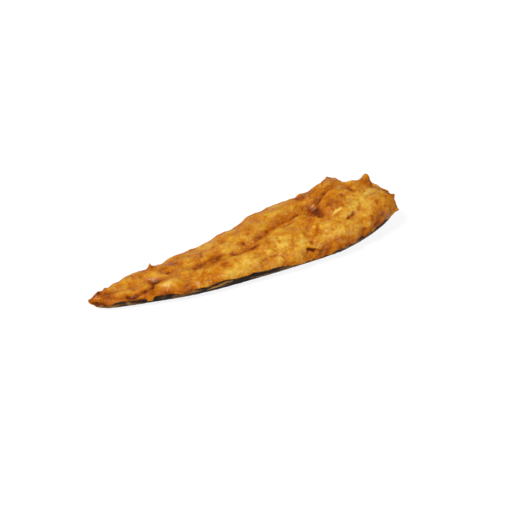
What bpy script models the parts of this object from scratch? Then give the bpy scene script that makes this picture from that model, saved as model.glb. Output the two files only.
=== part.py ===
"""A fried fish fillet with its skin on, lying skin side down.

One solid: the long tapering side of a small fish, with its tail end at -X and its thick head end at +X.
A seam runs along the top between the thick near loin (-Y) and the thinner far flap (+Y), which ends in a
step short of the head end. Lengths are in millimetres: "along" counts from the tail tip, "across" from
the fillet's middle line, and "up" from the surface that the fillet lies on.
"""

import math

import bmesh
import bpy
from mathutils import Matrix, Vector, noise

MM = 0.001

# The ends: how far each one rounds off, and where (across, up) it closes
LENGTH = 176.0
TAIL_ROUND = 9.0
HEAD_ROUND = 14.0
TAIL_TIP = (-2.5, 4.0)
HEAD_TIP = (-6.0, 10.5)

# The long curves as (along, value): the widest line of each side, the seam, and the heights
NEAR_EDGE = (
    (0, -4.5), (12, -10), (30, -14.8), (52, -19.3), (80, -21),
    (130, -20.9), (148, -17.6), (165, -12.6), (180, -8),
)
FAR_EDGE = (
    (0, 2), (20, 7), (50, 11.6), (80, 15.8), (94, 19), (106, 22.8),
    (128, 24.0), (142, 26.2), (150, 27.5), (154, 23.5), (160, 19), (170, 14.5), (180, 8),
)
SEAM = ((0, -1), (40, -4), (80, -6), (98, -1), (115, 4), (131, 5), (144, 12), (157, 17), (180, 24))
SEAM_DEPTH = ((0, 0.3), (45, 1.2), (80, 2.5), (118, 3), (131, 3.8), (145, 3.5), (158, 1), (180, 0))
NEAR_TOP = (
    (0, 6.5), (20, 8.2), (50, 11.5), (90, 15), (125, 18.5),
    (140, 22), (160, 22.5), (172, 20.6), (180, 16.5),
)
FAR_TOP = (
    (0, 5.5), (7, 5.9), (16, 7.8), (26, 8.6), (40, 9.0), (70, 13.0), (95, 18.3),
    (125, 21.6), (134, 22.5), (143, 25.2), (151, 24.9), (158, 22.6), (168, 21.2), (180, 16.5),
)
RIM_HEIGHT = ((0, 4), (30, 4.5), (110, 5.5), (145, 7), (165, 11), (180, 14))
BASE_LIFT = ((0, 0), (146, 0), (165, 3), (180, 9))

# How far out each crest lies, as a share of the way from the middle to its edge, and the seam between them
NEAR_CREST = 0.4
FAR_CREST = 0.7
SEAM_WIDTH = 3.5

# How square the section is above and below its widest line, and how much of the base is flat
TOP_POWER = 2.3
BASE_POWER = 2.7
FLAT_SHARE = 0.06

# The mesh: rings along the fillet, closer at its ends, and points around it, closer on its top
RINGS = 102
AROUND = 47
END_CROWDING = 0.6
TOP_CROWDING = 0.3

# Lumps all over the crust, as (size, height). They fade out towards the skin: below SKIN_EDGE, and where the
# surface's unit normal dips from 0 to UNDERSIDE below the level
LUMPS = ((17.0, 1.2), (6.5, 0.9))
SKIN_EDGE = 6.0
UNDERSIDE = 0.5

# Single bumps and, below zero, dents in the top: (along, across, length, width, turn in degrees, height)
MARKS = {
    "pit in the seam": (128, 3, 5.5, 4, 35, -2.6),
    "notch near the tail": (33, -5.5, 3.6, 1.9, -25, -2.0),
    "break across the loin": (120, -9, 9, 1.9, 60, -1.5),
    "slit low on the loin": (117, -20, 7, 1.6, 0, -1.5),
    "fold in the loin": (142, -12.5, 5.5, 1.7, 20, -1.6),
    "furrow at the head end": (148, -18.5, 2.2, 5, 0, -1.4),
    "corner of the flap": (149, 24.5, 4.5, 3.5, 0, 1.6),
    "peak of the crest": (163.6, 9, 3.0, 2.6, 0, 5.6),
    "foot of the peak": (158, 8, 4.5, 4, 0, 2.2),
    "upper nub at the head end": (172.5, 1.5, 1.8, 1.8, 0, 2.0),
    "lower nub at the head end": (173, -10, 1.8, 1.8, 0, 1.4),
    "first bump on the tail": (4.5, -2, 1.7, 1.7, 0, 1.0),
    "second bump on the tail": (8.5, 0, 1.7, 1.7, 0, 0.9),
    "third bump on the tail": (12.5, 1, 1.7, 1.7, 0, 1.0),
    "spine on the tail": (37, 6.5, 1.7, 1.7, 0, 1.8),
}

CRUST_COLOUR = (0.54, 0.21, 0.03)
CRUST_ROUGHNESS = 0.45


def smooth(share):
    """An S-shaped ease from 0 to 1."""
    share = min(max(share, 0.0), 1.0)
    return share * share * (3 - 2 * share)


def curve(points, along):
    """A smooth curve through (along, value) points."""
    last = len(points) - 1
    step = next((i for i in range(last) if along <= points[i + 1][0]), last - 1)

    def slope(i):
        before, after = points[max(i - 1, 0)], points[min(i + 1, last)]
        return (after[1] - before[1]) / (after[0] - before[0])

    (start, low), (end, high) = points[step], points[step + 1]
    span = end - start
    share = (along - start) / span
    leave = share * (1 - share) ** 2 * span * slope(step)
    arrive = share**2 * (share - 1) * span * slope(step + 1)
    return low + (high - low) * smooth(share) + leave + arrive


def power(value, exponent):
    """A signed power, which makes a circle's sine and cosine into a squarer form."""
    return math.copysign(abs(value) ** exponent, value)


def roof(along, across):
    """The height of the top before its sides fall away: two crests with the seam between them."""
    near, far, seam = curve(NEAR_EDGE, along), curve(FAR_EDGE, along), curve(SEAM, along)
    share = smooth((across - near * NEAR_CREST) / (far * FAR_CREST - near * NEAR_CREST))
    crest = curve(NEAR_TOP, along) * (1 - share) + curve(FAR_TOP, along) * share
    return crest - curve(SEAM_DEPTH, along) * math.exp(-(((across - seam) / SEAM_WIDTH) ** 2))


def section(along, angle):
    """The point (across, up) of the section at an angle, which counts from the far side over the top."""
    near, far, rim = curve(NEAR_EDGE, along), curve(FAR_EDGE, along), curve(RIM_HEIGHT, along)
    side, rise = math.cos(angle), math.sin(angle)
    shape = TOP_POWER if rise > 0 else BASE_POWER
    across = (far + near) / 2 + (far - near) / 2 * power(side, 2 / shape)
    if rise > 0:
        up = rim + (roof(along, across) - rim) * power(rise, 2 / shape)
    else:
        base = max(0.0, curve(BASE_LIFT, along))
        up = base + (rim - base) * max(0.0, 1 + (1 + FLAT_SHARE) * power(rise, 2 / shape))
    return across, up


def body_point(direction):
    """Where a point of the unit sphere, with its poles on X, comes to lie on the smooth fillet."""
    share = math.acos(max(-1.0, min(1.0, -direction.x))) / math.pi
    along = LENGTH * (share - END_CROWDING * math.sin(2 * math.pi * share) / (2 * math.pi))
    angle = math.atan2(direction.z, direction.y)
    angle += TOP_CROWDING * math.cos(angle)
    across, up = section(along, angle)
    for tip, distance, reach in ((TAIL_TIP, along, TAIL_ROUND), (HEAD_TIP, LENGTH - along, HEAD_ROUND)):
        if distance < reach:
            swell = math.sqrt(max(0.0, 1 - (1 - distance / reach) ** 2))
            across = tip[0] + (across - tip[0]) * swell
            up = tip[1] + (up - tip[1]) * swell
    return Vector((along, across, up))


def relief(point, normal):
    """How far the crust stands out from the smooth fillet at a point."""
    height = sum(rise * noise.noise(point / size) for size, rise in LUMPS)
    for along, across, length, width, turn, rise in MARKS.values():
        away = Matrix.Rotation(math.radians(-turn), 2) @ Vector((point.x - along, point.y - across))
        height += rise * math.exp(-((away.x / length) ** 2) - (away.y / width) ** 2)
    return height * smooth(point.z / SKIN_EDGE) * smooth(1 + normal.z / UNDERSIDE)


def fillet_mesh():
    """The fillet's closed surface, in metres, with its origin under the middle of its box."""
    shape = bmesh.new()
    poles_on_x = Matrix.Rotation(math.radians(90), 4, "Y")
    bmesh.ops.create_uvsphere(shape, u_segments=AROUND, v_segments=RINGS, radius=1, matrix=poles_on_x)
    for vert in shape.verts:
        vert.co = body_point(vert.co)
    shape.normal_update()
    for vert in shape.verts:
        vert.co += vert.normal * relief(vert.co, vert.normal)

    lowest = Vector(min(vert.co[axis] for vert in shape.verts) for axis in range(3))
    highest = Vector(max(vert.co[axis] for vert in shape.verts) for axis in range(3))
    middle = (lowest + highest) / 2
    bmesh.ops.translate(shape, verts=shape.verts, vec=(-middle.x, -middle.y, -lowest.z))
    bmesh.ops.scale(shape, verts=shape.verts, vec=(MM, MM, MM))
    mesh = bpy.data.meshes.new("fillet")
    shape.to_mesh(mesh)
    shape.free()
    mesh.polygons.foreach_set("use_smooth", [True] * len(mesh.polygons))
    return mesh


def crust_material():
    material = bpy.data.materials.new("fried crust")
    material.use_nodes = True
    shader = material.node_tree.nodes["Principled BSDF"]
    shader.inputs["Base Color"].default_value = (*CRUST_COLOUR, 1)
    shader.inputs["Roughness"].default_value = CRUST_ROUGHNESS
    shader.inputs["Metallic"].default_value = 0
    return material


def main():
    for thing in list(bpy.data.objects):
        bpy.data.objects.remove(thing)
    group = bpy.data.collections.new("fried fish fillet")
    bpy.context.scene.collection.children.link(group)
    fillet = bpy.data.objects.new("fillet", fillet_mesh())
    fillet.data.materials.append(crust_material())
    group.objects.link(fillet)


main()
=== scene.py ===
"""The looks of a fried fish fillet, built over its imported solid.

The flesh is the solid's own surface, remeshed finely and given the relief of a fried crust. Places on it are
given in millimetres as (along, turn): along counts from the tail end, and turn is the angle in degrees round
the fillet's core, 0 straight up, negative on the near side and positive on the far side.
"""

import bmesh
import bpy
import math
import numpy as np
from itertools import product
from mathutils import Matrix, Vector
from mathutils.bvhtree import BVHTree


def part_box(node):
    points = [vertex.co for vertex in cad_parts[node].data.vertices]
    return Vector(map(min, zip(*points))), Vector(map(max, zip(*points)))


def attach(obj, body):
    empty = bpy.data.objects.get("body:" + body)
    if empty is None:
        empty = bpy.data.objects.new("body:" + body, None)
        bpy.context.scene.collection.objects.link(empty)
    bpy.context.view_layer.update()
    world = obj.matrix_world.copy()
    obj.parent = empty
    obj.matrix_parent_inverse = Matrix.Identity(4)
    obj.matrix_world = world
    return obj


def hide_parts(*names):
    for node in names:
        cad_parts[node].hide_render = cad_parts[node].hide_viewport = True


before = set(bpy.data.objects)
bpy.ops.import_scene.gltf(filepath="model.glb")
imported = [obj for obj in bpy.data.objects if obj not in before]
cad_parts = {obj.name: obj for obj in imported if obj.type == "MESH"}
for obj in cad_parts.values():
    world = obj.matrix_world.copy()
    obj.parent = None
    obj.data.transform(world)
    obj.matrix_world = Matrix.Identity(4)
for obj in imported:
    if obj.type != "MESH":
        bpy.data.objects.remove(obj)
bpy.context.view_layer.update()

MM = 0.001
LOW, HIGH = (np.array(corner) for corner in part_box("fillet"))
ORIGIN = np.array([LOW[0], (LOW[1] + HIGH[1]) / 2, LOW[2]])
LENGTH = (HIGH[0] - LOW[0]) / MM

# The core line that turns are measured round: across from the box's middle, and its height at each end
CORE_ACROSS = -4.5
CORE_UP = (4.0, 9.0)

# The remesh: its cell in mm, and the rounds of smoothing that hide the solid's facets
VOXEL = 0.48
SMOOTHING = 10

# Rounds of smoothing that give a point's surroundings, close by and further off
NEAR_ROUNDS = 8
FAR_ROUNDS = 50

# The skin: its edge's height along the fillet, as (along, height), how ragged that edge is, how soft it is,
# and how far the skin lies below the crust
SKIN_LINE = (
    (0, 0.8), (5, 2.4), (9, 3.4), (12, 4.7), (14, 5.7), (23, 5.8), (25.5, 5.2), (26.5, 4.0), (29, 3.8),
    (31, 6.1), (35, 6.8), (42, 5.8), (47, 5.0), (50.5, 6.2), (55, 7.0), (60.5, 6.2), (66, 7.4), (71, 7.1),
    (77, 6.4), (82, 7.0), (88, 7.1), (98, 6.8), (107, 5.3), (114, 4.3), (125, 4.5), (131, 6.2), (138, 6.8),
    (144, 6.7), (149, 7.2), (154, 7.7), (159, 8.7), (163, 10.0), (176, 11.0),
)
SKIN_RAGGED = 0.7
SKIN_BLEND = 0.8
SKIN_STEP = 0.45

# Wrinkles of the skin: (size along, size across, height)
WRINKLES = (3.0, 0.9, 0.12)
FINE_WRINKLES = (0.9, 0.9, 0.1)

# Relief of the crust: (size along, size across, height), all in mm
SWELLS = (12.0, 9.0, 0.35)
LUMPS = (6.0, 4.4, 0.42)
PLATES = (8.0, 6.0, 0.22)
BLISTERS = (3.2, 2.5, 0.29)
FIBRES = (6.0, 1.7, 0.07)
CROSS_FIBRES = (1.7, 4.0, 0.07)
GRAINS = (1.5, 1.5, 0.09)
FINE_GRAINS = (0.9, 0.9, 0.04)
CREASES = (5.0, 4.0, -0.18)

# The crust is rougher in some places than in others, and its fibres run across in some, above all past
# HEAD_END. These are the sizes of such places
ROUGH_SIZE = 17.0
CROSS_SIZE = 13.0
HEAD_END = 146

# Noises that move things about so that they look uneven: (size, how far)
RELIEF_WARP = (7.0, 1.3)
STROKE_WARP = (4.5, 0.5)
FINE_STROKE_WARP = (1.8, 0.2)
PATCH_WARP = (2.5, 0.6)
RIBBON_WARP = (4.0, 0.4)

# Painted shade by form: darker in creases, on the sides that face away from up and close above the skin's
# edge; and on the underside a value below zero, which darkens the skin
CREASE_SHADE = 0.3
SIDE_SHADE = 0.4
EDGE_SHADE = 0.5
EDGE_REACH = 1.3
UNDERSIDE_BROWNING = -1.3

# Lines in the crust: (half width, depth, step, browning, places along it). The depth is below zero for a
# groove, and the step is how far the line's left side stands above its right side. The browning along
# grooves and slits is partly painted shade, and below zero it is a painted highlight
STROKES = {
    "seam near the tail": (
        1.7, -0.5, 0.2, 0.65,
        ((52, -52), (56, -51), (61, -44), (64, -38), (70, -35), (75, -36)),
    ),
    "seam along the middle": (
        1.4, -0.5, 0.2, 0.7,
        ((74, -38), (77, -45), (80, -51), (84, -49), (88, -46), (92, -41)),
    ),
    "seam by the flap": (
        1.2, -0.35, 0.0, 0.45,
        ((96, -10), (100, 9), (106, 18), (111, 25), (117, 26), (122, 31)),
    ),
    "seam under the flap": (1.1, -0.2, 0.0, 0.4, ((136, 42), (139, 42), (142.3, 39), (143, 28), (145, 25))),
    "notch by the tail": (
        1.3, -0.35, 0.0, 0.8,
        ((32.4, -5), (32, -40), (33, -58), (36.5, -57), (39.5, -57)),
    ),
    "fold under the notch": (0.9, -0.4, 0.2, 0.5, ((33, -62), (31, -70), (29, -74.5))),
    "fold behind the tail": (
        0.8, -0.4, 0.3, 0.6,
        ((29, -74.5), (26.4, -75), (22.6, -79), (19.3, -81.5), (13.6, -79)),
    ),
    "crease behind the tail": (0.9, -0.3, 0.1, 0.35, ((21.6, -15), (22, -58), (22.4, -69))),
    "crease by the spine": (0.7, -0.2, 0.0, 0.35, ((41, 44), (41.7, 17), (44, 14))),
    "crease past the spine": (0.9, -0.2, 0.0, 0.35, ((45.7, 19), (48, 20), (50, 11))),
    "crease across the seam": (0.7, -0.3, 0.0, 0.4, ((62.8, 34), (62.2, 6), (61.5, -15))),
    "crease down the side": (0.8, -0.15, 0.0, 0.25, ((58.4, -63), (56, -73), (53.7, -81))),
    "crease by the blotch": (0.7, -0.3, 0.0, 0.35, ((84.5, -7), (85.5, -17), (86, -43))),
    "break across the loin": (
        1.2, -0.25, 0.1, 0.7,
        ((124.5, -30), (123, -51), (119.3, -65), (117.4, -70), (115.8, -74)),
    ),
    "slit low on the loin": (0.62, -0.95, 0.4, 1.2, ((112.4, -76), (115.2, -80), (117.6, -83.4))),
    "slit's fine end": (0.5, -0.5, 0.2, 0.5, ((116, -81), (119, -85), (122, -89))),
    "line on the loin": (0.5, -0.25, 0.1, 0.35, ((100.7, -38), (101.1, -48), (101.1, -55.6))),
    "arc on the loin": (0.9, -0.25, 0.0, 0.4, ((114.5, -38), (115.6, -48), (113.5, -58))),
    "band down the loin": (1.0, -0.15, 0.0, 0.3, ((110.4, -33), (107.8, -57), (105.5, -70))),
    "low fold in the loin": (
        0.9, -0.3, 0.2, 0.35,
        ((87.6, -76), (91.5, -74), (95.4, -74), (99, -75), (103.4, -73.6)),
    ),
    "fold in the loin": (
        0.8, -0.5, 0.25, 0.45,
        ((139.6, -51.4), (140.8, -48), (143.7, -44.5), (146.5, -39)),
    ),
    "edge of the plate": (
        0.7, -0.25, 0.2, 0.3,
        ((146.5, -39), (149, -34), (150.4, -26.5), (151, -16), (147.6, -2)),
    ),
    "top of the plate": (0.5, -0.3, 0.0, 0.5, ((144.2, 10.6), (144.1, 2.6))),
    "curve by the crest": (1.0, -0.3, 0.0, 0.5, ((149.7, 25), (150.6, 20.6), (151, 12), (152.2, 4.5))),
    "furrow at the head end": (0.9, -0.3, 0.2, 0.75, ((153.4, -55), (153.4, -62), (153, -70))),
    # two raised lines with painted highlights along them
    "streak with painted highlight": (0.6, 0.4, 0.1, -1.5, ((133.5, -31), (136.2, -26), (138.8, -24), (140, -22))),
    "ridge with painted highlight": (0.5, 0.3, 0.0, -0.4, ((145.6, 1), (148.5, -5), (151.5, -11))),
    # the low edge and the tail side are painted shade low down on the near side; the tail rim is browned
    "low edge in painted shade": (
        2.4, 0.0, 0.0, 0.8,
        ((106, -92), (118, -90), (129, -88), (134.5, -91), (139, -92), (145, -95)),
    ),
    "tail side in painted shade": (2.2, 0.0, 0.0, 0.6, ((0, -82), (14, -78), (30, -84), (45, -88), (58, -91))),
    "brown tail rim": (1.6, 0.0, 0.0, 0.4, ((4, 60), (12, 75), (24, 76))),
}

# How a line fades at its ends: over what share of it, and to what share of its depth. Its browning and
# painted shade spread wider than its groove, by a factor, and its step reaches this far
LINE_FADE = 0.2
LINE_END = 0.15
BROWN_AND_SHADE_SPREAD = 1.9
STEP_REACH = 3.5

# A peeled ribbon on the skin: its half width, height and places
RIBBON = (0.32, 0.3, ((56.5, -92.6), (59, -92.8), (61.4, -93), (64, -90.2), (66.8, -88.7), (70, -90)))

# Points of crust that stick out: (along, turn, radius, height, browning). They lean up from the surface,
# by these shares of the surface's normal and of straight up
SPIKE_OUT = 0.7
SPIKE_UP = 0.5
SPIKES = {
    "spine on the tail": (36.0, 54, 0.95, 2.6, 0.6),
    "tail tip": (0.3, -83, 1.2, 1.4, 1.1),
    "first tail bump": (6.4, 62, 1.5, 0.9, 1.0),
    "second tail bump": (10.8, 77, 1.5, 0.9, 1.0),
    "bump on the far rim": (62, 80, 1.6, 0.6, 0.3),
    "chip on the far rim": (126.5, 51, 1.1, 2.0, 0.5),
    "corner of the flap": (147.8, 64, 1.3, 0.9, 0.3),
    "peak of the crest": (163.2, 32, 1.1, 0.3, 0.5),
    "upper nub": (172.6, -22, 1.5, 2.0, 1.0),
    "lower nub": (172.2, -73, 0.9, 3.0, 0.8),
}

# Rises and dips that shape the far rim and the head end: (along, turn, radius, height)
WAVES = (
    (4, -105, 4.5, -1.8), (9, 76, 1.4, -1.0), (12.5, 77, 2.4, -1.3), (16, 80, 1.8, 0.3),
    (26, 78, 3.0, 0.6), (33, 72, 3.5, -1.3), (37.5, 55, 2.0, -0.4), (43, 80, 4.0, -1.7),
    (48.5, 80, 1.6, 0.4), (51, 80, 3.5, 0.7), (63, 79, 3.5, -0.6), (69, 71, 3.0, 0.5),
    (83, 71, 3.5, -0.9), (88, 69, 3.0, -0.5), (96, 66, 3.0, 0.8), (104, 69, 3.5, -1.0),
    (118, 70, 2.5, 0.4), (122, 63, 3.0, -0.6), (126, 41, 3.0, 0.8), (131, 36, 3.0, 0.7),
    (131, 75, 2.0, 0.9), (133, 14, 4.5, 0.6), (139, 24, 4.0, 0.8), (142, 65, 3.0, -0.9),
    (145.5, 68, 3.0, -2.6), (151, 53, 2.5, 0.7), (151, 60, 1.6, 0.9), (153.4, 52, 1.5, -0.9),
    (153.5, 45, 2.2, -1.2), (161.5, 37, 1.5, -0.9), (165.9, 34, 1.5, -1.6), (166.2, 31, 1.7, -2.2),
    (169, 44, 2.0, 0.9), (174, -47, 2.8, -2.8),
)

# Hollows, lumps and patches: (along, turn, radius, height, browning). The browning in the pit and the
# deeper hollows is partly painted shade, and some pale patches are painted glints
PATCHES = (
    # the tail end
    (1, -60, 2.5, 0.0, 0.8), (1.5, -95, 2.0, 0.0, 0.6), (3.5, 10, 1.2, 0.35, 0.9), (4, 0, 4.0, 0.0, 0.35),
    (6, 30, 1.2, -0.3, 0.5), (8, -79, 1.0, -0.2, 0.5), (8.5, 35, 1.2, 0.3, 0.6),
    (22, -75.7, 0.8, -0.2, 0.5), (24, -68, 1.6, 0.15, -0.28), (25.8, 36, 1.3, -0.15, 0.35),
    (28, -86, 2.4, 0.5, 0.45), (29.4, 22, 1.3, -0.2, 0.5), (32, -30, 2.0, 0.4, 0.2),
    (32.5, 36, 1.3, -0.1, 0.35), (34.2, -71, 2.4, 0.1, -0.35), (36, -30, 2.2, 0.1, -0.28),
    (37.5, -68, 2.8, 0.2, -0.39), (39, -38, 2.2, 0.1, -0.28), (40, -66, 2.4, 0.1, -0.35),
    (41.5, -73, 2.2, 0.2, -0.45), (42, -34, 1.3, -0.4, 0.6), (43, 20, 5.0, 0.0, 0.3),
    # along the seam
    (51, -72, 1.8, 0.15, -0.28), (54.5, 71, 1.8, 0.0, 0.4), (57, -63, 1.8, 0.2, -0.32),
    (67.5, 70, 2.0, 0.0, 0.4), (67.7, -65, 2.5, 0.0, 0.3), (68.7, -54, 3.5, -0.1, 0.35),
    (69, -76, 2.6, 0.2, -0.17), (70, 26, 1.3, -0.3, 0.4), (71, -60, 3.0, 0.0, 0.3),
    (75, -69, 1.5, 0.2, -0.35), (77, 10.6, 1.3, 0.2, -0.35), (78, 62, 2.0, 0.0, 0.4),
    (78.5, -68, 3.0, 0.1, -0.28), (82, -64, 4.5, 0.2, -0.28), (84.4, -7, 1.6, -0.2, 0.4),
    (89, 11, 1.4, -0.2, 0.4), (90, 58, 1.6, 0.0, 0.6), (93, -9, 2.4, -0.25, 0.65),
    (95, -17, 2.0, -0.2, 0.5), (96, 64, 2.0, 0.0, 0.4), (98.8, 62, 2.0, 0.0, 0.6),
    # the loin and the pit
    (93.3, -65, 1.6, 0.2, -0.28), (97.1, -79.6, 2.0, 0.15, -0.28), (103.2, -61, 1.5, 0.25, -0.42),
    (110.3, -12, 1.6, 0.1, -0.28), (112.3, -62, 2.8, 0.15, -0.28), (113.5, -54, 1.1, 0.25, -0.35),
    (116.5, -72, 1.3, -0.2, 0.25), (116.7, -92, 0.9, 0.2, -0.35), (122, -44, 0.9, 0.2, -0.35),
    (122, 45, 3.5, 0.0, 0.3), (125, 40, 3.0, 0.0, 0.25), (126, -45, 3.5, 0.1, -0.32),
    (126, 51, 3.5, 0.0, 0.4), (128, -24, 1.6, -0.3, 0.6), (128.2, -8.5, 2.6, -1.0, 1.1),
    (129.3, 13, 2.4, -0.2, 0.9), (129.8, 31, 1.8, 0.0, 0.6), (131, 39, 4.0, 0.0, 0.25),
    (132.7, -7, 3.0, 0.0, 0.3), (133, 35, 1.3, 0.0, 0.3), (133.6, 30, 4.0, 0.0, 0.2),
    (134, 51, 4.0, 0.0, 0.35),
    # the head end
    (130.2, -77.6, 1.0, -0.2, 0.4), (134, -76, 1.4, -0.2, 0.4), (135, -49, 1.0, -0.1, 0.35),
    (135.2, -62.4, 1.2, 0.2, -0.28), (140.6, -57, 1.8, 0.2, -0.35), (143.8, -30, 3.5, 0.1, -0.28),
    (148.2, -78, 1.1, -0.2, 0.5), (150.3, -72, 2.8, 0.5, 0.15), (153.2, 18, 1.2, 0.2, -0.28),
    (157.5, 7.7, 1.0, -0.2, 0.4), (157.7, 0, 3.0, 0.1, -0.28), (160.2, -31.4, 1.3, -0.25, 0.5),
    (160.6, 31, 2.0, 0.0, 0.35), (161.4, -63, 1.2, -0.2, 0.5), (163, 29, 2.8, 0.0, 0.8),
    (164, -47, 0.9, -0.2, 0.35), (165.5, 18, 2.5, 0.0, 0.35), (167.2, -24, 1.1, -0.2, 0.4),
    (169.3, 10, 2.5, 0.0, 0.35), (169.8, -13, 2.5, 0.0, 0.3),
)

# Broad shades of the crust, browner above zero: (along, turn, half length, half width, browning). They are
# partly the crust's own colour and partly painted light and shade: paler on the low near side, and darker
# along the low edges and under the tail
SHADES = {
    "underside of the tail": (7, -92, 6, 5, 0.8),
    "end of the tail": (1, -30, 3, 30, -0.3),
    "low edge behind the tail": (19, -88, 7, 2.5, 0.6),
    "under the notch": (29, -77, 5, 3, 0.25),
    "low edge of the loin": (102, -92, 8, 3, 0.3),
    "low edge of the head end": (152, -92, 10, 3, 0.4),
    "low side of the head end": (157, -78, 11, 5, 0.4),
    "side of the head end": (160, -61, 7, 4, 0.4),
    "low side where the skin shows": (62, -76, 4, 4, 0.25),
    "low side past the skin": (79, -77, 11, 5, -0.45),
    "low side of the loin": (118, -76, 7, 5, -0.5),
    "side of the loin": (103, -62, 12, 5, -0.3),
    "side past the break": (129, -61, 9, 5, -0.55),
    "back of the tail": (17, -32, 6, 9, -0.4),
    "shoulder of the near crest": (75, -43, 9, 4, -0.45),
    "blotch on the shoulder": (90, -43, 6, 4, 0.35),
    "shoulder of the loin": (102, -43, 6, 5, -0.35),
    "shoulder of the head end": (145, -43, 11, 5, -0.25),
    "beside the notch": (35, -24, 8, 4, -0.3),
    "near crest": (77, -24, 17, 4, -0.28),
    "plate on the head end": (150, -24, 7, 5, -0.7),
    "rim of the head end": (173, -24, 4, 5, 0.4),
    "seam behind the spine": (54, -5, 6, 6, -0.45),
    "seam along the loin": (95, -3, 13, 4, -0.3),
    "below the pit": (126, -6, 5, 7, 0.4),
    "beyond the pit": (138, 10, 5, 9, 0.45),
    "crown of the head end": (156, -4, 9, 5, -0.45),
    "far side of the seam": (48, 20, 20, 4, 0.22),
    "foot of the peak": (156, 19, 10, 4, 0.15),
    "far crest past the spine": (53, 38, 7, 4, 0.35),
    "middle of the far crest": (72, 38, 10, 4, -0.33),
    "brown spot on the far crest": (90, 38, 5, 4, 0.2),
    "far crest before the flap": (104, 38, 8, 4, -0.42),
    "crest of the flap": (144, 38, 10, 4, 0.25),
    "peak of the crest": (162, 36, 5, 4, 0.4),
    "far rim of the tail": (35, 62, 20, 5, 0.25),
    "middle of the far rim": (66, 62, 6, 4, -0.4),
    "far rim before the flap": (114, 62, 7, 5, -0.25),
    "rim of the flap": (126, 60, 5, 5, 0.3),
    "corner of the flap": (142, 62, 10, 6, 1.0),
}

# Greyish patches, where the crust is worn thin: (along, turn, radius, share)
WORN = ((165, -73, 2.4, 0.8), (12, -96, 2.5, 0.5))

# The studio, in metres: a pale floor that glows a little, a pale sky, and area lights, as
# (name, watts, size, azimuth, elevation)
FLOOR_SIZE = 6
FLOOR_GLOW = 0.88
WORLD_GLOW = 0.32
LIGHT_DISTANCE = 2
LIGHTS = (("key", 35, 0.5, -75, 55), ("fill", 8, 1.6, 30, 35))

# The camera: the point that it looks at, where it stands round that point, and its lens in mm
CAMERA_TARGET = (0.0065, -0.0018, 0)
CAMERA_AZIMUTH = -27
CAMERA_ELEVATION = 35
CAMERA_DISTANCE = 0.79
LENS = 107


def smooth(share):
    share = np.clip(share, 0, 1)
    return share * share * (3 - 2 * share)


def lattice_noise(points, seed):
    """Gradient noise at each point, about -1 to 1, with features one unit across."""
    rng = np.random.default_rng(seed)
    order = rng.permutation(256)
    slopes = rng.normal(size=(256, 3))
    slopes /= np.linalg.norm(slopes, axis=1)[:, None]
    cell = np.floor(points).astype(int)
    inside = points - cell
    ease = inside**3 * (inside * (inside * 6 - 15) + 10)
    total = np.zeros(len(points))
    for corner in product((0, 1), repeat=3):
        at = cell + corner
        key = order[(order[(order[at[:, 0] & 255] + at[:, 1]) & 255] + at[:, 2]) & 255]
        weight = np.where(corner, ease, 1 - ease).prod(axis=1)
        total += weight * (slopes[key] * (inside - corner)).sum(axis=1)
    return total * 1.6


def puffs(points, seed):
    """Rounded puffs, about -0.5 to 0.5, with creases between them, one unit across."""
    rng = np.random.default_rng(seed)
    order = rng.permutation(256)
    jitter = rng.random((256, 3))
    cell = np.floor(points).astype(int)
    nearest = np.full(len(points), 9.0)
    for step in product((-1, 0, 1), repeat=3):
        at = cell + step
        key = order[(order[(order[at[:, 0] & 255] + at[:, 1]) & 255] + at[:, 2]) & 255]
        nearest = np.minimum(nearest, ((at + jitter[key] - points) ** 2).sum(axis=1))
    return 0.5 - np.clip(nearest, 0, 1)


def plates(points, seed):
    """Overlapping plates, one step apart, with soft edges."""
    field = lattice_noise(points, seed) * 2.2
    level = np.floor(field)
    return level + 0.5 + smooth((field - level) / 0.35) - 0.4 * (field - level)


def ridges(points, seed):
    """Rounded ridges, about -0.5 to 0.5, with sharp grooves between them."""
    return 0.5 - np.exp(-((lattice_noise(points, seed) / 0.42) ** 2))


def cracks(points, seed):
    """Short winding lines, 1 on the line."""
    line = np.exp(-((lattice_noise(points, seed) / 0.13) ** 2))
    return line * smooth(lattice_noise(points * 0.8, seed + 1) * 3 - 0.3)


def shifted(points, size, amount, seed):
    """The points, moved about by noise of a size, by up to about an amount."""
    return points + amount * np.stack([lattice_noise(points / size, seed + k) for k in range(3)], axis=1)


def to_world(points):
    return np.asarray(points) * MM + ORIGIN


def core(along):
    share = np.asarray(along, float) / LENGTH
    up = CORE_UP[0] + (CORE_UP[1] - CORE_UP[0]) * share
    return np.stack([np.asarray(along, float), np.full_like(up, CORE_ACROSS), up], axis=-1)


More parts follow.
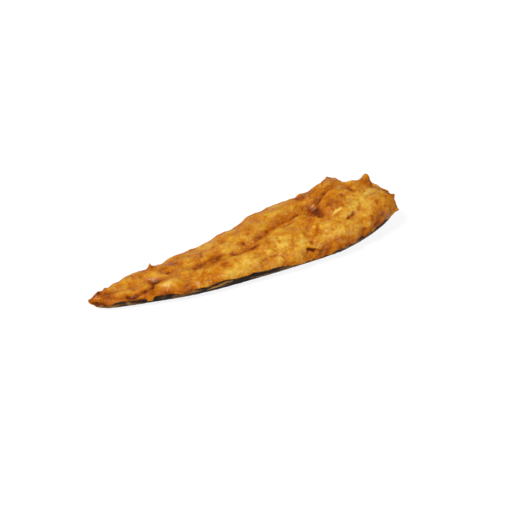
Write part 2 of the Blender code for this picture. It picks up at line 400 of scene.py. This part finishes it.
class Skin:
    """The remeshed solid as arrays in millimetres, with tools that work on its points."""

    def __init__(self, node):
        mesh = node.data.copy()
        helper = bpy.data.objects.new("helper", mesh)
        bpy.context.scene.collection.objects.link(helper)
        remesh = helper.modifiers.new("remesh", "REMESH")
        remesh.mode = "VOXEL"
        remesh.voxel_size = VOXEL * MM
        remesh.adaptivity = 0
        bpy.context.view_layer.update()
        fine = helper.evaluated_get(bpy.context.evaluated_depsgraph_get())
        self.mesh = bpy.data.meshes.new_from_object(fine)
        bpy.data.objects.remove(helper)
        bpy.data.meshes.remove(mesh)
        count = len(self.mesh.vertices)
        raw = np.empty(count * 3)
        self.mesh.vertices.foreach_get("co", raw)
        self.points = (raw.reshape(-1, 3) - ORIGIN) / MM
        edges = np.empty(len(self.mesh.edges) * 2, int)
        self.mesh.edges.foreach_get("vertices", edges)
        self.edges = edges.reshape(-1, 2)
        self.links = np.bincount(self.edges.ravel(), minlength=count)

    def blur(self, values, rounds, share=0.5):
        """Values at the points, averaged with their neighbours' some rounds over."""
        flat = values.reshape(len(values), -1)
        first, second = self.edges.T
        for _ in range(rounds):
            total = np.empty_like(flat)
            for axis in range(flat.shape[1]):
                column = flat[:, axis]
                total[:, axis] = np.bincount(first, column[second], len(flat))
                total[:, axis] += np.bincount(second, column[first], len(flat))
            flat = flat + share * (total / self.links[:, None] - flat)
        return flat.reshape(values.shape)

    def write(self):
        self.mesh.vertices.foreach_set("co", to_world(self.points).ravel())
        self.mesh.update()

    def normals(self):
        self.write()
        raw = np.empty(len(self.points) * 3)
        self.mesh.vertex_normals.foreach_get("vector", raw)
        return raw.reshape(-1, 3)

    def tree(self):
        self.write()
        shape = bmesh.new()
        shape.from_mesh(self.mesh)
        found = BVHTree.FromBMesh(shape)
        shape.free()
        return found


def place(tree, along, turn):
    """The surface point, in mm, at (along, turn), or the nearest one past the ends of the fillet."""
    start = Vector(to_world(core(along)))
    aim = Vector((0, math.sin(math.radians(turn)), math.cos(math.radians(turn))))
    hit = tree.ray_cast(start, aim)[0] or tree.find_nearest(start)[0]
    return (np.array(hit) - ORIGIN) / MM


def stroke_distance(points, normals, places):
    """How far each point is from a line through places, signed by side, and its share of the way along."""
    best = np.full(len(points), 99.0)
    side = np.zeros(len(points))
    share = np.zeros(len(points))
    legs = len(places) - 1
    for i, (start, end) in enumerate(zip(places, places[1:])):
        way = end - start
        part = np.clip((points - start) @ way / (way @ way), 0, 1)
        off = points - start - part[:, None] * way
        away = np.linalg.norm(off, axis=1)
        closer = away < best
        best = np.where(closer, away, best)
        side = np.where(closer, (np.cross(normals, way) * off).sum(axis=1), side)
        share = np.where(closer, (i + part) / legs, share)
    return best, np.sign(side), share


def layer(points, sizes, kind, seed):
    """One kind of relief, with its sizes as (size along, size across, height)."""
    along, across, height = sizes
    return height * kind(points / (along, across, across), seed)


def spot(points, centre, radius):
    """1 at a centre and fading round it. The radius is one number, or one for each axis."""
    return np.exp(-(np.linalg.norm((points - centre) / radius, axis=1) ** 2))


def overall_relief(points, skin):
    """The relief that covers all of the crust, and how deep in a crease each point is, from 0 to about 1."""
    loose = shifted(points, *RELIEF_WARP, seed=50)
    rough = 0.75 + 0.45 * lattice_noise(points / ROUGH_SIZE, seed=91)
    height = layer(loose, SWELLS, lattice_noise, seed=21) + layer(loose, LUMPS, lattice_noise, seed=25)
    height += layer(loose, PLATES, plates, seed=28) * smooth(rough)
    height += layer(loose, BLISTERS, puffs, seed=31) * rough
    height = skin.blur(height, 3)

    crossed = 0.2 + 1.6 * lattice_noise(points / CROSS_SIZE, seed=44)
    crossed = smooth(crossed + 0.7 * smooth((points[:, 0] - HEAD_END) / 8))
    height += layer(loose, FIBRES, ridges, seed=45) * (1 - crossed) * rough
    height += layer(loose, CROSS_FIBRES, ridges, seed=46) * crossed * rough
    creases = layer(loose, CREASES, cracks, seed=35) * rough
    return height + creases, creases / CREASES[2]


def stroke_relief(points, normals, tree):
    """The height of the lines in the crust, and their browning and painted shade."""
    height = np.zeros(len(points))
    browning_and_shade = np.zeros(len(points))
    loose = shifted(shifted(points, *STROKE_WARP, seed=60), *FINE_STROKE_WARP, seed=70)
    for width, depth, step, brown, places in STROKES.values():
        away, side, share = stroke_distance(loose, normals, [place(tree, *p) for p in places])
        ends = smooth(share / LINE_FADE) * smooth((1 - share) / LINE_FADE) * (1 - LINE_END) + LINE_END
        uneven = ends * (1 + 0.5 * lattice_noise(points / 3.5, seed=95))
        groove = np.exp(-((away / width) ** 2))
        height += depth * groove * uneven
        height += step * side * (1 - groove) * np.exp(-((away / STEP_REACH) ** 2)) * ends
        browning_and_shade += brown * np.exp(-((away / (width * BROWN_AND_SHADE_SPREAD)) ** 2)) * uneven
    return height, browning_and_shade


def crust_relief(points, normals, tree, skin):
    """The crust's height, and its browning and painted shade, at each point."""
    height, creases = overall_relief(points, skin)
    line_height, browning_and_shade = stroke_relief(points, normals, tree)
    height += line_height
    # painted shade in the creases
    browning_and_shade += creases * CREASE_SHADE
    for along, turn, radius, rise in WAVES:
        height += rise * spot(points, place(tree, along, turn), radius)
    warped = shifted(points, *PATCH_WARP, seed=80)
    for along, turn, radius, rise, brown in PATCHES:
        share = spot(warped, place(tree, along, turn), radius)
        height += rise * share
        browning_and_shade += brown * share
    for along, turn, length, width, brown in SHADES.values():
        browning_and_shade += brown * spot(warped, place(tree, along, turn), (length, width, width))
    return height, browning_and_shade


def skin_depth(points):
    """How far each point lies below the skin's ragged edge."""
    line = np.interp(points[:, 0], *zip(*SKIN_LINE))
    ragged = lattice_noise(points / (5.0, 3.0, 3.0), seed=11) + 0.6 * lattice_noise(points / 1.6, seed=12)
    return line + SKIN_RAGGED * ragged - points[:, 2]


def form_darkening(normals, depth):
    """Painted shade from how a point faces and how close above the skin's edge it is, and a darker
    underside.
    """
    facing_up = normals[:, 2]
    browning_and_shade = SIDE_SHADE * smooth((0.15 - facing_up) / 0.7)
    browning_and_shade += UNDERSIDE_BROWNING * smooth((-0.55 - facing_up) / 0.35)
    near_edge = np.exp(-((np.maximum(-depth, 0) / EDGE_REACH) ** 2))
    return browning_and_shade + EDGE_SHADE * near_edge * smooth((0.75 - facing_up) / 0.3)


def ribbon_share(points, normals, tree):
    """Where the peeled ribbon is, from 0 to 1."""
    width, _, places = RIBBON
    loose = shifted(points, *RIBBON_WARP, seed=85)
    away, _, _ = stroke_distance(loose, normals, [place(tree, *p) for p in places])
    return np.exp(-((away / width) ** 2))


def worn_share(points, tree):
    """Where the crust is worn thin, from 0 to 1."""
    warped = shifted(points, *PATCH_WARP, seed=80)
    worn = np.zeros(len(points))
    for along, turn, radius, share in WORN:
        away = np.linalg.norm(warped - place(tree, along, turn), axis=1)
        worn = np.maximum(worn, share * np.exp(-((away / radius) ** 4)))
    return worn


def build_flesh():
    """The fillet's one piece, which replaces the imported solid."""
    skin = Skin(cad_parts["fillet"])
    skin.points = skin.blur(skin.points, SMOOTHING)
    tree = skin.tree()
    start = skin.points.copy()
    normals = skin.normals()

    depth = skin_depth(start)
    is_skin = smooth(depth / SKIN_BLEND + 0.5) * smooth((0.55 - normals[:, 2]) / 0.3)
    is_crust = 1 - is_skin
    height, browning_and_shade = crust_relief(start, normals, tree, skin)
    # painted shade on the sides and low down above the skin's edge, and a darker underside
    browning_and_shade += form_darkening(normals, depth)
    skin.points = start + normals * (height * is_crust - SKIN_STEP * is_skin)[:, None]
    for along, turn, radius, rise, brown in SPIKES.values():
        away = np.linalg.norm(start - place(tree, along, turn), axis=1) / radius
        skin.points += (normals * SPIKE_OUT + (0, 0, SPIKE_UP)) * (rise * np.exp(-(away**1.5)))[:, None]
        browning_and_shade += brown * np.exp(-((away * 0.8) ** 2))
    ribbon = ribbon_share(start, normals, tree) * is_skin

    normals = skin.normals()
    skin.points += normals * (RIBBON[1] * ribbon)[:, None]
    grains = layer(start, GRAINS, puffs, seed=61) + layer(start, FINE_GRAINS, lattice_noise, seed=71)
    wrinkles = layer(start, WRINKLES, lattice_noise, seed=81)
    wrinkles += layer(start, FINE_WRINKLES, lattice_noise, seed=82)
    skin.points += normals * (grains * is_crust + wrinkles * is_skin)[:, None]
    skin.points[:, 2] = np.maximum(skin.points[:, 2], 0.0)

    # How far each point stands above its surroundings, close by and further off, which the colours use for
    # painted shade in hollows and painted light on rises
    stand = ((skin.points - skin.blur(skin.points, NEAR_ROUNDS)) * skin.normals()).sum(axis=1)
    broad = ((skin.points - skin.blur(skin.points, FAR_ROUNDS)) * skin.normals()).sum(axis=1)
    skin.write()

    # The crust shines least on its far side, its head end and low down
    away_side = smooth((normals[:, :2].max(axis=1) - 0.1) / 0.5)
    shares = {
        "skin": is_skin,
        "browning_and_shade": browning_and_shade,
        "stand": np.clip(stand * 4, -1, 1),
        "broad": np.clip(broad * 1.5, -1, 1),
        "ribbon": ribbon,
        "worn": worn_share(start, tree),
        "dull": np.maximum(away_side, smooth((0.4 - normals[:, 2]) / 0.5)),
    }
    for name, values in shares.items():
        add_values(skin.mesh, name, values)
    dress_flesh(skin.mesh, is_skin)


def dress_flesh(mesh, is_skin):
    """Makes the piece, with the skin's own material on the faces that are skin alone."""
    mesh.polygons.foreach_set("use_smooth", [True] * len(mesh.polygons))
    flesh = bpy.data.objects.new("crusted_flesh", mesh)
    bpy.context.scene.collection.objects.link(flesh)
    mesh.materials.clear()
    mesh.materials.append(crust_material())
    mesh.materials.append(skin_material())
    corners = np.empty(len(mesh.loops), int)
    mesh.loops.foreach_get("vertex_index", corners)
    bare = is_skin[corners].reshape(-1, 4).min(axis=1) > 0.97  # the remesh makes quads alone
    mesh.polygons.foreach_set("material_index", bare.astype(np.int32))
    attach(flesh, "root")
    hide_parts("fillet")


def add_values(mesh, name, values):
    """Stores a value for each point in the mesh, for the materials to read by name."""
    attribute = mesh.attributes.new(name, "FLOAT", "POINT")
    attribute.data.foreach_set("value", np.asarray(values, np.float32))


class Nodes:
    """A material's node tree, with short ways to add nodes."""

    def __init__(self, name):
        self.material = bpy.data.materials.new(name)
        self.material.use_nodes = True
        self.tree = self.material.node_tree
        self.shader = self.tree.nodes["Principled BSDF"]

    def add(self, kind, values=(), **settings):
        node = self.tree.nodes.new(kind)
        for key, value in settings.items():
            setattr(node, key, value)
        for key, value in dict(values).items():
            if isinstance(value, bpy.types.NodeSocket):
                self.tree.links.new(value, node.inputs[key])
            else:
                node.inputs[key].default_value = value
        return node

    def attribute(self, name):
        return self.add("ShaderNodeAttribute", attribute_name=name).outputs["Fac"]

    def noise(self, scale, detail=3, roughness=0.55, stretch=(1, 1, 1)):
        place = self.add("ShaderNodeTexCoord").outputs["Object"]
        scaled = self.add("ShaderNodeMapping", {"Vector": place, "Scale": stretch})
        return self.add(
            "ShaderNodeTexNoise",
            {"Vector": scaled.outputs[0], "Scale": scale, "Detail": detail, "Roughness": roughness},
        ).outputs["Fac"]

    def sum(self, *terms, start=0.0):
        """start plus each (value, factor)."""
        total = start
        for value, factor in terms:
            total = self.add(
                "ShaderNodeMath", {0: value, 1: factor, 2: total}, operation="MULTIPLY_ADD"
            ).outputs[0]
        return total

    def ramp(self, value, stops):
        node = self.add("ShaderNodeValToRGB", {"Fac": value})
        ramp = node.color_ramp
        while len(ramp.elements) < len(stops):
            ramp.elements.new(0.5)
        for element, (position, colour) in zip(ramp.elements, stops):
            element.position = position
            element.color = (*colour, 1)
        return node.outputs["Color"]

    def mix(self, share, first, second):
        """The colour that runs from first to second by share."""
        node = self.add("ShaderNodeMix", {0: share, 6: first, 7: second}, data_type="RGBA")
        return node.outputs[2]


# Colours from the darkest to the palest, as (place on the ramp, linear colour)
CRUST_TONES = (
    (0.0, (0.11, 0.018, 0.001)),
    (0.2, (0.27, 0.055, 0.002)),
    (0.36, (0.42, 0.11, 0.002)),
    (0.52, (0.53, 0.18, 0.004)),
    (0.66, (0.61, 0.28, 0.017)),
    (0.8, (0.68, 0.385, 0.035)),
    (1.0, (0.78, 0.5, 0.1)),
)
SKIN_TONES = (
    (0.0, (0.008, 0.005, 0.004)),
    (0.42, (0.02, 0.011, 0.006)),
    (0.56, (0.05, 0.024, 0.009)),
    (0.75, (0.12, 0.055, 0.015)),
    (1.0, (0.26, 0.13, 0.03)),
)
RIBBON_TONE = (0.42, 0.21, 0.045, 1)
WORN_TONE = (0.3, 0.15, 0.075, 1)
PAINTED_GLINT_TONE = (0.85, 0.58, 0.2, 1)

# Painted glints: peaks of noise from the first of these values on turn into pale specks, up to a share of
# their own colour
PAINTED_GLINTS = ((0.6, (0, 0, 0)), (0.72, (0.36, 0.36, 0.36)))


def crust_tones(nodes):
    """The crust's colour: browned patches, painted shade in hollows, painted light on rises, mottling of
    three sizes, painted glints.
    """
    browning_and_shade, stand, broad = (nodes.attribute(n) for n in ("browning_and_shade", "stand", "broad"))
    # stand and broad give painted shade in hollows and painted light on rises
    tone = nodes.sum(
        (stand, 0.16),
        (broad, 0.19),
        (browning_and_shade, -0.33),
        (nodes.noise(60, 2), 0.35),
        (nodes.noise(250, 3, 0.55, (0.75, 1, 1)), 0.62),
        (nodes.noise(800, 3, 0.6), 0.4),
        start=-0.185,
    )
    # painted glints, from the peaks of a fine noise
    lightness = nodes.sum((nodes.noise(850, 2), 1.0), (browning_and_shade, -0.06))
    painted_glints = nodes.ramp(lightness, PAINTED_GLINTS)
    crust = nodes.mix(painted_glints, nodes.ramp(tone, CRUST_TONES), PAINTED_GLINT_TONE)
    return nodes.mix(nodes.attribute("worn"), crust, WORN_TONE)


def skin_tones(nodes):
    """The skin's colour: dark, with fine streaks along the fish, and painted shade in hollows and painted
    light on rises.
    """
    tone = nodes.sum(
        (nodes.noise(480, 3, 0.6, (0.12, 1, 1)), 3.2),
        (nodes.attribute("stand"), 0.3),
        (nodes.attribute("browning_and_shade"), 0.35),
        start=-1.52,
    )
    return nodes.mix(nodes.attribute("ribbon"), nodes.ramp(tone, SKIN_TONES), RIBBON_TONE)


def add_grain(nodes, strength):
    """Gives the shader a bump finer than the mesh."""
    grain = nodes.sum((nodes.noise(1800, 4, 0.6), 0.7), (nodes.noise(700, 3), 1.0))
    bump = nodes.add("ShaderNodeBump", {"Height": grain, "Strength": strength, "Distance": 0.0005})
    nodes.tree.links.new(bump.outputs[0], nodes.shader.inputs["Normal"])


def crust_material():
    """The fried crust, which passes into the skin where the "skin" attribute says so."""
    nodes = Nodes("fried crust")
    shader = nodes.shader
    colour = nodes.mix(nodes.attribute("skin"), crust_tones(nodes), skin_tones(nodes))
    nodes.tree.links.new(colour, shader.inputs["Base Color"])
    rough = nodes.sum((nodes.noise(500, 3), 0.7), (nodes.attribute("dull"), 0.4), start=0.05)
    nodes.tree.links.new(rough, shader.inputs["Roughness"])
    oil = nodes.sum(
        (nodes.noise(300, 3), 3.0),
        (nodes.attribute("dull"), -0.7),
        (nodes.attribute("browning_and_shade"), -0.3),
        start=-1.15,
    )
    nodes.tree.links.new(oil, shader.inputs["Coat Weight"])
    shader.inputs["Coat Roughness"].default_value = 0.1
    shader.inputs["Coat IOR"].default_value = 1.5
    shader.inputs["Subsurface Weight"].default_value = 0.4
    shader.inputs["Subsurface Radius"].default_value = (1.0, 0.4, 0.12)
    shader.inputs["Subsurface Scale"].default_value = 0.0015
    shader.inputs["Specular IOR Level"].default_value = 0.15
    shader.inputs["Specular Tint"].default_value = (1.0, 0.72, 0.35, 1)
    add_grain(nodes, 0.5)
    ripples = nodes.add(
        "ShaderNodeBump", {"Height": nodes.noise(1000, 2), "Strength": 0.5, "Distance": 0.0008}
    )
    nodes.tree.links.new(ripples.outputs[0], shader.inputs["Coat Normal"])
    return nodes.material


def skin_material():
    nodes = Nodes("dark fish skin")
    nodes.tree.links.new(skin_tones(nodes), nodes.shader.inputs["Base Color"])
    rough = nodes.sum((nodes.noise(500, 3), 0.4), start=0.3)
    nodes.tree.links.new(rough, nodes.shader.inputs["Roughness"])
    nodes.shader.inputs["Specular IOR Level"].default_value = 0.12
    add_grain(nodes, 0.4)
    return nodes.material


def build_stage():
    """The floor, the sky and the lights."""
    bpy.ops.mesh.primitive_plane_add(size=FLOOR_SIZE, location=(0, 0, 0))
    floor = bpy.context.object
    floor.name = "floor"
    nodes = Nodes("pale floor")
    nodes.shader.inputs["Base Color"].default_value = (0.15, 0.15, 0.15, 1)
    nodes.shader.inputs["Roughness"].default_value = 0.9
    nodes.shader.inputs["Emission Color"].default_value = (1, 1, 1, 1)
    nodes.shader.inputs["Emission Strength"].default_value = FLOOR_GLOW
    floor.data.materials.append(nodes.material)

    world = bpy.data.worlds.new("studio")
    bpy.context.scene.world = world
    world.use_nodes = True
    world.node_tree.nodes["Background"].inputs["Color"].default_value = (1, 1, 1, 1)
    world.node_tree.nodes["Background"].inputs["Strength"].default_value = WORLD_GLOW

    for name, power, size, azimuth, elevation in LIGHTS:
        light = bpy.data.lights.new(name, "AREA")
        light.energy, light.size = power, size
        lamp = bpy.data.objects.new(name, light)
        bpy.context.scene.collection.objects.link(lamp)
        lamp.location = direction(azimuth, elevation) * LIGHT_DISTANCE
        lamp.rotation_mode = "QUATERNION"
        lamp.rotation_quaternion = direction(azimuth, elevation).to_track_quat("Z", "Y")


def direction(azimuth, elevation):
    """The direction from the object to where a camera at (azimuth, elevation) in degrees stands."""
    turn, rise = math.radians(azimuth), math.radians(elevation)
    return Vector((math.sin(turn) * math.cos(rise), -math.cos(turn) * math.cos(rise), math.sin(rise)))


def build_camera():
    camera = bpy.data.objects.new("camera", bpy.data.cameras.new("camera"))
    bpy.context.scene.collection.objects.link(camera)
    camera.data.lens = LENS
    back = direction(CAMERA_AZIMUTH, CAMERA_ELEVATION)
    camera.location = Vector(CAMERA_TARGET) + back * CAMERA_DISTANCE
    camera.rotation_mode = "QUATERNION"
    camera.rotation_quaternion = back.to_track_quat("Z", "Y")
    bpy.context.scene.camera = camera
    bpy.context.scene.view_settings.view_transform = "Standard"


build_camera()
build_stage()
build_flesh()
